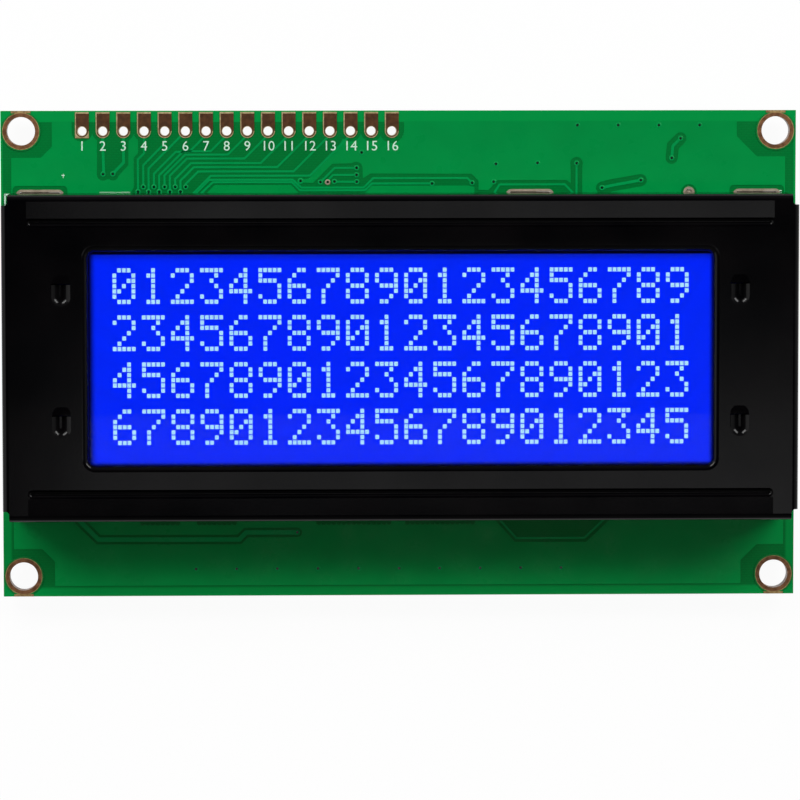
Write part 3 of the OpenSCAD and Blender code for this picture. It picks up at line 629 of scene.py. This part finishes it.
def pad_finish():
    """Header pads: brown tarnished copper with painted highlights, pale round each hole, along the rounded
    foot and along the upper and left rims, where the edges face the lamps.
    """
    finish, nodes, links, shader = new_finish("tarnished_header_pad")
    axes = place_axes(nodes, links)
    shifted = calculate(nodes, links, "ADD",
                        calculate(nodes, links, "SUBTRACT", axes["X"], header_x[0]), header_pitch / 2)
    within = calculate(nodes, links, "SUBTRACT",
                       calculate(nodes, links, "MODULO", shifted, header_pitch), header_pitch / 2)
    along = calculate(nodes, links, "SUBTRACT", axes["Y"], header_y)
    radius = distance(nodes, links, within, along)
    # painted highlights along the pad's edges, on the sides that face the lamps
    at_hole = calculate(nodes, links, "LESS_THAN", radius, HIGHLIGHT_AT_HOLE)
    at_left = calculate(nodes, links, "LESS_THAN", within, HIGHLIGHT_AT_LEFT - PAD_HALF)
    at_top = calculate(nodes, links, "GREATER_THAN", axes["Y"], header_high.y - HIGHLIGHT_AT_TOP)
    at_foot = calculate(nodes, links, "MULTIPLY", calculate(nodes, links, "LESS_THAN", along, 0),
                        calculate(nodes, links, "GREATER_THAN", radius, PAD_HALF - HIGHLIGHT_AT_FOOT))
    painted_highlight = calculate(nodes, links, "MAXIMUM", at_hole, at_foot, at_left, at_top)
    brown = mottled(nodes, colour(94, 60, 34), colour(72, 46, 26), 1700.0)
    rim = mottled(nodes, colour(196, 178, 136), colour(160, 138, 96), 2500.0)
    links.new(blend_colours(nodes, links, painted_highlight, brown, rim), shader.inputs["Base Color"])
    set_surface(nodes, links, shader, 0.3, 0.45, 1500.0, TIN_RELIEF, 4000.0)
    shader.inputs["Metallic"].default_value = 0.25
    return finish


def ring_finish():
    """Mounting rings: tarnished copper with a pale rim at the edge of the bare part. The mask laps over the
    outermost part, except where the ring runs out over the board's long edges."""
    finish, nodes, links, shader = new_finish("tarnished_mounting_ring")
    axes = place_axes(nodes, links)
    away = [calculate(nodes, links, "SUBTRACT", calculate(nodes, links, "ABSOLUTE", axes[axis]), middle)
            for axis, middle in (("X", RING_X), ("Y", RING_Y))]
    radius = distance(nodes, links, *away)
    # a pale rim along the outer edge of the bare part of the ring
    at_rim = calculate(nodes, links, "GREATER_THAN", radius, RING_BARE - PALE_RIM_WIDTH)
    inside_edge = calculate(nodes, links, "LESS_THAN", calculate(nodes, links, "ABSOLUTE", axes["Y"]),
                            board_high.y - RING_OPEN_EDGE)
    lapped = calculate(nodes, links, "MULTIPLY", calculate(nodes, links, "GREATER_THAN", radius, RING_BARE),
                       inside_edge)
    brown = mottled(nodes, colour(128, 88, 58), colour(90, 60, 36), 1700.0)
    rim = mottled(nodes, colour(164, 138, 92), colour(120, 94, 58), 2500.0)
    bare = blend_colours(nodes, links, at_rim, brown, rim)
    links.new(blend_colours(nodes, links, lapped, bare, MASK_OVER_BOARD), shader.inputs["Base Color"])
    set_surface(nodes, links, shader, 0.3, 0.45, 1500.0, TIN_RELIEF, 4000.0)
    shader.inputs["Specular IOR Level"].default_value = 0.3
    return finish


dress("mounting_lands", ring_finish())
dress("header_pads", pad_finish())
slot_tin = plain_finish("tinned_slot_ring", colour(180, 168, 148), colour(150, 138, 118), cloud=1500.0,
                        low=0.3, high=0.45, relief=TIN_RELIEF, relief_scale=4000.0, metallic=0.25)
dress("slot_lands", slot_tin)
FILLED_SLOT, FILLED_TOOLING_R = (5.2, 0.7, 0.34), 0.38
SOLDER_LOW, SOLDER_HIGH = board_high.z - 0.3 * MM, board_high.z - 0.06 * MM
filled = [box_outline(x, SLOT_Y * side, *FILLED_SLOT) for x in SLOT_X for side in (1, -1)]
filled.append(arc(*TOOLING, FILLED_TOOLING_R))
add_plates("slot_solder", filled, SOLDER_LOW, SOLDER_HIGH, slot_tin)
plated_holes("bare_small_hole", [(-8.81, 21.2)], front_high, 1, slot_tin)


# ---- White printing ----
# Epoxy ink screened on the mask: a plain number under each header hole and corner marks for the bezel.
# The ink is a little thicker than the mask and slightly uneven at its edges.

INK_HEIGHT = 0.02 * MM
NUMBER_HEIGHT = 1.2 * MM
NUMBER_Y = 25.1 * MM
CAPITAL_SHARE = 0.7
ink_finish = plain_finish("white_ink", colour(206, 238, 216), colour(182, 222, 196), cloud=3000.0,
                          low=0.55, high=0.7, relief=0.003 * MM, relief_scale=9000.0)
number_shape = bmesh.new()
for i, x in enumerate(header_x):
    writing = bpy.data.curves.new("ink_number", "FONT")
    writing.body = str(i + 1)
    writing.align_x = "CENTER"
    writing.size = NUMBER_HEIGHT / CAPITAL_SHARE
    writing.extrude = INK_HEIGHT / 2
    writing.resolution_u = 3
    number = trace("ink_number", writing)
    number.transform(Matrix.Translation((x, NUMBER_Y, front_high + INK_HEIGHT / 2)))
    number_shape.from_mesh(number)
    bpy.data.meshes.remove(number)
close_seams(number_shape, 0.0002 * MM)
publish("header_numbers", make_mesh("header_numbers", number_shape), ink_finish)
marks = [box_outline(-48.49, 19.2, 0.2, 1.25, 0.05), box_outline(-48.1, 19.72, 0.95, 0.22, 0.05),
         box_outline(-41.33, 22.08, 0.42, 0.09, 0.03), box_outline(-41.33, 22.02, 0.09, 0.5, 0.03),
         box_outline(46.85, 20.07, 0.9, 0.1, 0.03), box_outline(-35.0, 20.0, 3.8, 0.05, 0.02)]
add_plates("corner_marks", marks, front_high, front_high + INK_HEIGHT, ink_finish)


# ---- Contacts and striped rubber ----
# Gold-plated contacts on the board and, on them, silicone rubber strips with fine stripes of black carbon.
# The strips are squeezed between the board and the front glass and carry each line of the display upwards.

STRIPE_PITCH = 0.18 * MM
dress("strip_contacts", plain_finish("gold_contact", colour(255, 214, 120), colour(236, 190, 92),
                                     cloud=1500.0, low=0.18, high=0.3, metallic=1.0))


def striped_rubber():
    """Pink silicone crossed by black carbon-filled stripes, half and half."""
    finish, nodes, links, shader = new_finish("striped_rubber")
    along = calculate(nodes, links, "DIVIDE", place_axes(nodes, links)["X"], STRIPE_PITCH)
    stripe = calculate(nodes, links, "LESS_THAN", calculate(nodes, links, "FRACT", along), 0.5)
    silicone = mottled(nodes, colour(226, 170, 160), colour(214, 156, 148), 1200.0)
    links.new(blend_colours(nodes, links, stripe, silicone, colour(28, 26, 26)), shader.inputs["Base Color"])
    set_surface(nodes, links, shader, 0.5, 0.65, 1500.0)
    return finish


rubber = striped_rubber()
dress("upper_contact_strip", rubber)
dress("lower_contact_strip", rubber)


# ---- Backlight ----
# White moulded housing with a reflector sheet, a clear acrylic light guide and a diffuser sheet laid in it.
# A small upright board with five lamps shines into the guide's end; its two legs are soldered at the rear.

dress("backlight_housing", plain_finish(
    "white_moulded_plastic", colour(238, 240, 236), colour(228, 230, 226), cloud=500.0, low=0.4, high=0.5,
    relief=0.006 * MM, relief_scale=5000.0))
film = plain_finish("white_film", colour(244, 245, 244), colour(236, 238, 238), low=0.35, high=0.5)
dress("reflector_sheet", film)
dress("diffuser_sheet", film)


def dotted_acrylic():
    """Clear acrylic whose rear face carries printed dots that throw the light out."""
    finish, nodes, links, shader = new_finish("clear_acrylic")
    place = nodes.new("ShaderNodeTexCoord")
    dots = nodes.new("ShaderNodeTexVoronoi")
    dots.inputs["Scale"].default_value = 1 / (1.1 * MM)
    dots.inputs["Randomness"].default_value = 0.0
    links.new(place.outputs["Object"], dots.inputs["Vector"])
    frosted = calculate(nodes, links, "LESS_THAN", dots.outputs["Distance"], 0.25)
    links.new(calculate(nodes, links, "MULTIPLY", frosted, 0.5), shader.inputs["Roughness"])
    shader.inputs["Base Color"].default_value = colour(244, 250, 252)
    shader.inputs["Transmission Weight"].default_value = 1.0
    shader.inputs["IOR"].default_value = 1.49
    return finish


dress("light_guide", dotted_acrylic())
dress("lamp_board", plain_finish("lamp_board_laminate", colour(206, 200, 150), colour(190, 182, 128),
                                 cloud=1500.0))
dress("lamps", plain_finish("lamp_resin", colour(250, 236, 170), colour(244, 224, 140), cloud=1500.0,
                            low=0.3, high=0.45))
solder_finish = plain_finish("solder", colour(214, 216, 218), colour(188, 190, 194), cloud=1800.0,
                             low=0.16, high=0.34, relief=0.006 * MM, relief_scale=1500.0, metallic=1.0)
dress("backlight_legs", plain_finish("tinned_wire", colour(210, 210, 206), colour(190, 190, 186),
                                     cloud=2500.0, low=0.2, high=0.35, metallic=1.0))
dress("leg_solder", solder_finish)


# ---- Liquid crystal cell ----
# Two plates of soda glass a few thousandths of a millimetre apart, sealed round the edge and filled through a
# port, with a polarizing film bonded on each side. No air lies between film and glass, so they hardly mirror.

BONDED_IOR = 1.12


def cell_plate(name, tint):
    """Clear glass that bends light only a little, as it does where a film is bonded to it."""
    finish, nodes, links, shader = new_finish(name)
    links.new(mottled(nodes, tint, darker(tint, 0.985), 300.0), shader.inputs["Base Color"])
    shader.inputs["Roughness"].default_value = 0.0
    shader.inputs["Transmission Weight"].default_value = 1.0
    shader.inputs["IOR"].default_value = BONDED_IOR
    return finish


cell_glass = cell_plate("cell_glass", colour(236, 250, 244))
dress("front_glass", cell_glass)
dress("rear_glass", cell_glass)


def polarizing_film(name, first, second, cover):
    """A thin dyed film: mostly clear, its dye laid over what is behind it."""
    finish, nodes, links, shader = new_finish(name)
    links.new(mottled(nodes, first, second, 200.0), shader.inputs["Base Color"])
    set_surface(nodes, links, shader, 0.18, 0.24, 250.0)
    shader.inputs["Alpha"].default_value = cover
    shader.inputs["Specular IOR Level"].default_value = 0.3
    return finish


dress("front_polarizer", polarizing_film("blue_polarizing_film", colour(1, 4, 44), colour(1, 3, 36), 0.12))
dress("rear_polarizer", polarizing_film("grey_polarizing_film", colour(120, 126, 140),
                                        colour(104, 110, 124), 0.5))
dress("cell_seal", plain_finish("seal_epoxy", colour(70, 72, 74), colour(52, 54, 56), cloud=1500.0))
dress("fill_plug", plain_finish("cured_resin", colour(228, 206, 120), colour(206, 180, 92), cloud=1500.0,
                                low=0.15, high=0.25))


# ---- Display ----
# The liquid crystal glows deep blue from the backlight, and the switched segments let the pale light through.
# Four rows of twenty characters, each five dots wide and seven high over a cursor row, on one fine grid.

LIT_SEGMENT, LIT_SEGMENT_PALER = colour(172, 216, 255), colour(182, 222, 255)
SEGMENT_STRENGTH = 1.4
FIELD_BLUE, FIELD_BLUE_LIGHTER = colour(0, 32, 254), colour(0, 36, 252)
FIELD_STRENGTH = 1.42
# the colour of the painted shadow of the bezel's lip along the field's upper edge
FIELD_SHADED = colour(6, 24, 150)
UNLIT = colour(0, 0, 4)
CHARACTER_PITCH = 3.55 * MM
ROW_PITCH = 5.74 * MM
DOT_PITCH_X = 0.578 * MM
DOT_PITCH_Y = 0.641 * MM
DOT_W = 0.46 * MM
DOT_H = 0.51 * MM
FIRST_DOT_X = -34.85 * MM
FIRST_DOT_Y = 10.69 * MM
DIGITS = {
    "0": ("01110", "10001", "10011", "10101", "11001", "10001", "01110"),
    "1": ("00100", "01100", "00100", "00100", "00100", "00100", "01110"),
    "2": ("01110", "10001", "00001", "00010", "00100", "01000", "11111"),
    "3": ("11111", "00010", "00100", "00010", "00001", "10001", "01110"),
    "4": ("00010", "00110", "01010", "10010", "11111", "00010", "00010"),
    "5": ("11111", "10000", "11110", "00001", "00001", "10001", "01110"),
    "6": ("00110", "01000", "10000", "11110", "10001", "10001", "01110"),
    "7": ("11111", "00001", "00010", "00100", "01000", "01000", "01000"),
    "8": ("01110", "10001", "10001", "01110", "10001", "10001", "01110"),
    "9": ("01110", "10001", "10001", "01111", "00001", "00010", "01100"),
}
ROWS = ("01234567890123456789", "23456789012345678901", "45678901234567890123", "67890123456789012345")
crystal_low, crystal_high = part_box("liquid_crystal")
crystal_t = crystal_high.z - crystal_low.z

# each side of the lit field: its axis, where the light ends and how far inside that it is full
FIELD_LEFT, FIELD_RIGHT, FIELD_FOOT, FIELD_TOP = -37.9 * MM, 38.1 * MM, -13.1 * MM, 12.65 * MM
FIELD_SIDES = (("X", FIELD_LEFT, 0.75 * MM), ("X", FIELD_RIGHT, -0.45 * MM),
               ("Y", FIELD_FOOT, 0.4 * MM), ("Y", FIELD_TOP, -0.12 * MM))
# the painted shadow of the bezel's lip along the lit field's upper edge: how deep it reaches and how much of
# it shows
TOP_SHADE_DEPTH, TOP_SHADE = 1.0 * MM, 0.72


def glowing(name, first, second, strength):
    """A finish lit from behind inside the window: dark beyond the lit field, with a painted shadow of the
    bezel's lip along its upper edge.
    """
    finish, nodes, links, shader = new_finish(name)
    axes = place_axes(nodes, links)
    lit = calculate(nodes, links, "MULTIPLY", *[fade(nodes, links, axes[axis], outer, outer + inward)
                                                for axis, outer, inward in FIELD_SIDES])
    # painted shadow of the bezel's lip, darkening the field towards its upper edge
    shade = fade(nodes, links, axes["Y"], FIELD_TOP - TOP_SHADE_DEPTH, FIELD_TOP, most=TOP_SHADE, smooth=True)
    dimmed = blend_colours(nodes, links, shade, mottled(nodes, first, second, 60.0), FIELD_SHADED)
    links.new(blend_colours(nodes, links, lit, UNLIT, dimmed), shader.inputs["Emission Color"])
    shader.inputs["Emission Strength"].default_value = strength
    shader.inputs["Base Color"].default_value = darker(first, 0.05)
    set_surface(nodes, links, shader, 0.5, 0.6, 900.0)
    shader.inputs["Specular IOR Level"].default_value = 0.0
    return finish


def add_block(shape, low, high):
    """A six-sided block between two corners, added to a shape."""
    made = bmesh.ops.create_cube(shape, size=1.0)["verts"]
    bmesh.ops.scale(shape, verts=made, vec=[end - start for start, end in zip(low, high)])
    bmesh.ops.translate(shape, verts=made, vec=[(end + start) / 2 for start, end in zip(low, high)])


field_top = crystal_high.z - 0.4 * crystal_t
dot_top = crystal_high.z - 0.1 * crystal_t
field_shape = bmesh.new()
add_block(field_shape, crystal_low, (crystal_high.x, crystal_high.y, field_top))
field = publish("liquid_crystal_field", make_mesh("liquid_crystal_field", field_shape),
                glowing("blue_liquid_crystal", FIELD_BLUE, FIELD_BLUE_LIGHTER, FIELD_STRENGTH))
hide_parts("liquid_crystal")
dot_shape = bmesh.new()
for row, text in enumerate(ROWS):
    for column, digit in enumerate(text):
        for line, dots in enumerate(DIGITS[digit]):
            for across, switched in enumerate(dots):
                if switched == "1":
                    x = FIRST_DOT_X + column * CHARACTER_PITCH + across * DOT_PITCH_X
                    y = FIRST_DOT_Y - row * ROW_PITCH - line * DOT_PITCH_Y
                    add_block(dot_shape, (x - DOT_W / 2, y - DOT_H / 2, field_top),
                              (x + DOT_W / 2, y + DOT_H / 2, dot_top))
publish("liquid_crystal_dots", make_mesh("liquid_crystal_dots", dot_shape),
        glowing("lit_segments", LIT_SEGMENT, LIT_SEGMENT_PALER, SEGMENT_STRENGTH))


# ---- Bezel ----
# One stamping of half-millimetre steel: walls turned down, a lip turned in at the window, beads and lances
# pressed into the face. It is coated black before it is pressed over the cell and its tabs are twisted.

STRIP_INNER = 17.05 * MM
STRIP_OUTER = 19.1 * MM
STRIP_END = 45.4 * MM
STRIP_SLOPE = 0.05


def black_coating():
    """Glossy black coating. Pressing leaves the strips outside the two beads a few degrees off level."""
    finish, nodes, links, shader = new_finish("black_coated_steel")
    links.new(mottled(nodes, colour(5, 4, 5), colour(1, 1, 2), 120.0), shader.inputs["Base Color"])
    set_surface(nodes, links, shader, 0.12, 0.16, 90.0)
    texture = place_group(nodes, grain, Scale=3500.0, Height=0.0012 * MM)
    axes = place_axes(nodes, links)
    rises = [fade(nodes, links, axes["Y"], low, high, most=(STRIP_OUTER - STRIP_INNER) * STRIP_SLOPE)
             for low, high in ((STRIP_INNER, STRIP_OUTER), (-STRIP_OUTER, -STRIP_INNER))]
    tilt = nodes.new("ShaderNodeBump")
    tilt.inputs["Distance"].default_value = 1.0
    links.new(calculate(nodes, links, "ADD", *rises), tilt.inputs["Height"])
    links.new(texture, tilt.inputs["Normal"])
    sideways = calculate(nodes, links, "ABSOLUTE", axes["X"])
    beside_bead = nodes.new("ShaderNodeMix")
    beside_bead.data_type = "VECTOR"
    for number, value in ((0, calculate(nodes, links, "LESS_THAN", sideways, STRIP_END)), (4, texture),
                          (5, tilt.outputs["Normal"])):
        feed(links, beside_bead.inputs[number], value)
    links.new(beside_bead.outputs[1], shader.inputs["Normal"])
    shader.inputs["Specular IOR Level"].default_value = 0.14
    return finish


dress("bezel", black_coating())


# ---- Parts on the rear ----
# Three bare chips bonded to the board and sealed under domes of black resin, with a row of chip resistors
# above them and a row of chip capacitors below, soldered at their metal ends.

dome_finish = plain_finish("black_dome_resin", colour(22, 22, 23), colour(14, 14, 15), cloud=300.0,
                           low=0.3, high=0.48, relief=0.02 * MM, relief_scale=350.0)
for chip in ("controller_chip", "left_driver_chip", "right_driver_chip"):
    dress(chip, dome_finish)
dress("chip_resistors", plain_finish("resistor_glaze", colour(30, 30, 34), colour(20, 20, 24), cloud=2500.0,
                                     low=0.25, high=0.4))
dress("chip_capacitors", plain_finish("capacitor_ceramic", colour(176, 138, 96), colour(156, 118, 78),
                                      cloud=2500.0))
dress("chip_ends", solder_finish)
CHIP_PART_PITCH = 4.0
CHIP_PART_LENGTH = 2.0
LAND_W, LAND_D = 0.9, 1.45
lands = []
for row in ("chip_resistors", "chip_capacitors"):
    row_low, row_high = (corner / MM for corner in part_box(row))
    row_x, row_y = (row_low.x + row_high.x) / 2, (row_low.y + row_high.y) / 2
    part_count = round((row_high.x - row_low.x) / CHIP_PART_PITCH) + 1
    for i in range(part_count):
        part_x = row_x + (i - (part_count - 1) / 2) * CHIP_PART_PITCH
        for side in (-1, 1):
            land_x = part_x + side * (CHIP_PART_LENGTH / 2 + 0.1)
            lands.append(box_outline(land_x, row_y, LAND_W, LAND_D, 0.12))
add_plates("chip_lands", lands, rear_low - 2 * TRACK_RISE, rear_high, solder_finish)


# ---- Floor, lamps and camera ----
# A plain pale floor under the module, a soft lamp at the upper left and right, a broad weak one at each end,
# a dim panel and a grey room overhead, and a long lens that looks almost straight down.

FLOOR_RADIUS = 2.5
FLOOR_GAP = 0.02 * MM
FLOOR_GLOW = 0.95
floor_shape = bmesh.new()
bmesh.ops.create_circle(floor_shape, cap_ends=True, segments=96, radius=FLOOR_RADIUS)
bmesh.ops.translate(floor_shape, verts=floor_shape.verts, vec=(0, 0, cad_bounds[0].z - FLOOR_GAP))
floor_finish, nodes, links, shader = new_finish("pale_floor")
nodes.remove(shader)
matte = nodes.new("ShaderNodeBsdfDiffuse")
matte.inputs["Color"].default_value = (0.9, 0.9, 0.9, 1)
glow = nodes.new("ShaderNodeEmission")
path = nodes.new("ShaderNodeLightPath")
seen = calculate(nodes, links, "MAXIMUM", path.outputs["Is Camera Ray"], path.outputs["Is Glossy Ray"],
                 path.outputs["Is Transmission Ray"])
mix = nodes.new("ShaderNodeMixShader")
links.new(calculate(nodes, links, "MULTIPLY", seen, FLOOR_GLOW), mix.inputs["Fac"])
links.new(matte.outputs["BSDF"], mix.inputs[1])
links.new(glow.outputs["Emission"], mix.inputs[2])
links.new(mix.outputs["Shader"], nodes["Material Output"].inputs["Surface"])
floor = bpy.data.objects.new("floor", make_mesh("floor", floor_shape))
floor.data.materials.append(floor_finish)
bpy.context.scene.collection.objects.link(floor)


def hang_lamp(name, place, width, height, power, turn=(0.0, 0.0, 0.0)):
    """A soft rectangular lamp; unturned, it looks straight down."""
    lamp = bpy.data.lights.new(name, "AREA")
    lamp.shape = "RECTANGLE"
    lamp.size = width
    lamp.size_y = height
    lamp.energy = power
    holder = bpy.data.objects.new(name, lamp)
    holder.location = place
    holder.rotation_euler = turn
    bpy.context.scene.collection.objects.link(holder)


# each lamp looks at the module: its azimuth, where 0 is +X and 90 is +Y, its elevation, size and power
LAMP_DISTANCE = 0.8
for name, azimuth, elevation, width, height, power in (
        ("upper_left_lamp", 130, 35, 0.5, 0.2, 4.3), ("upper_right_lamp", 42, 35, 0.5, 0.2, 4.3),
        ("left_lamp", 182, 22, 1.0, 0.5, 1.7), ("right_lamp", -2, 22, 1.0, 0.5, 0.5)):
    place = Vector((LAMP_DISTANCE, 0.0, 0.0))
    place.rotate(Euler((0.0, -math.radians(elevation), math.radians(azimuth))))
    hang_lamp(name, place, width, height, power, (-place).to_track_quat("-Z", "Y").to_euler())

# the panel hangs just off the mirror line, so that the black face stays black at the upper left
PANEL_PLACE = (0.075, -0.12, 0.9)
hang_lamp("dim_panel", PANEL_PLACE, 0.32, 0.09, 0.145)

# the room's grey, from the horizon to overhead
ROOM_GREYS = ((0.0, 0.3), (0.7, 0.15), (0.97, 0.008))
world = bpy.data.worlds.new("studio")
bpy.context.scene.world = world
world.use_nodes = True
room_nodes, room_links = world.node_tree.nodes, world.node_tree.links
direction = room_nodes.new("ShaderNodeTexCoord")
upward = room_nodes.new("ShaderNodeSeparateXYZ")
room = room_nodes.new("ShaderNodeValToRGB")
room.color_ramp.elements.new(ROOM_GREYS[1][0])
for stop, (height, grey) in zip(room.color_ramp.elements, ROOM_GREYS):
    stop.position = height
    stop.color = (grey, grey, grey, 1)
room_links.new(direction.outputs["Generated"], upward.inputs["Vector"])
room_links.new(upward.outputs["Z"], room.inputs["Fac"])
room_links.new(room.outputs["Color"], room_nodes["Background"].inputs["Color"])

CAMERA_PLACE = (-14.47 * MM, 33.65 * MM, 542.25 * MM)
CAMERA_TURN = (-4.164, -1.546, -0.052)
lens = bpy.data.cameras.new("camera")
lens.sensor_width = 36
lens.lens = 197.25
lens.clip_start = 0.01
camera = bpy.data.objects.new("camera", lens)
camera.location = CAMERA_PLACE
camera.rotation_euler = [math.radians(turn) for turn in CAMERA_TURN]
bpy.context.scene.collection.objects.link(camera)
bpy.context.scene.camera = camera
bpy.context.scene.view_settings.view_transform = "Standard"
